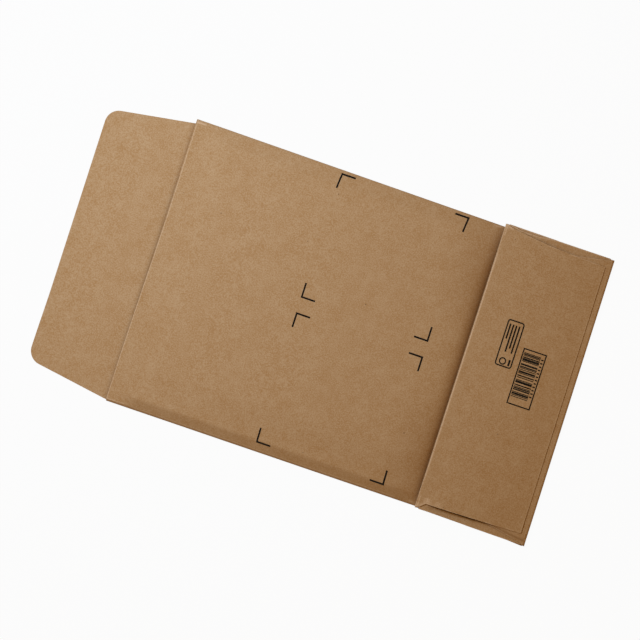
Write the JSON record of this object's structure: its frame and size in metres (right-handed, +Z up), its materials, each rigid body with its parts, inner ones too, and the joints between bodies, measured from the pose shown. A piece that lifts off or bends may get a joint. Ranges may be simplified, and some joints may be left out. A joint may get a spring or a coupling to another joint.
{
  "type": "kraft envelope",
  "caption": "Flat kraft card mailing envelope with side gussets, a folded-over block bottom and an open closing flap with rounded corners.",
  "frame": {"origin": "centre of the underside, where the back panel lies on the table", "axes": "+X from the closing flap's tip to the bottom fold, +Y across the panels, +Z up out of the front panel"},
  "size_m": [0.3875, 0.2126, 0.0096],
  "materials": {
    "kraft_card": "matte"
  },
  "bodies": {
    "root": {"envelope": "kraft_card"}
  },
  "joints": []
}
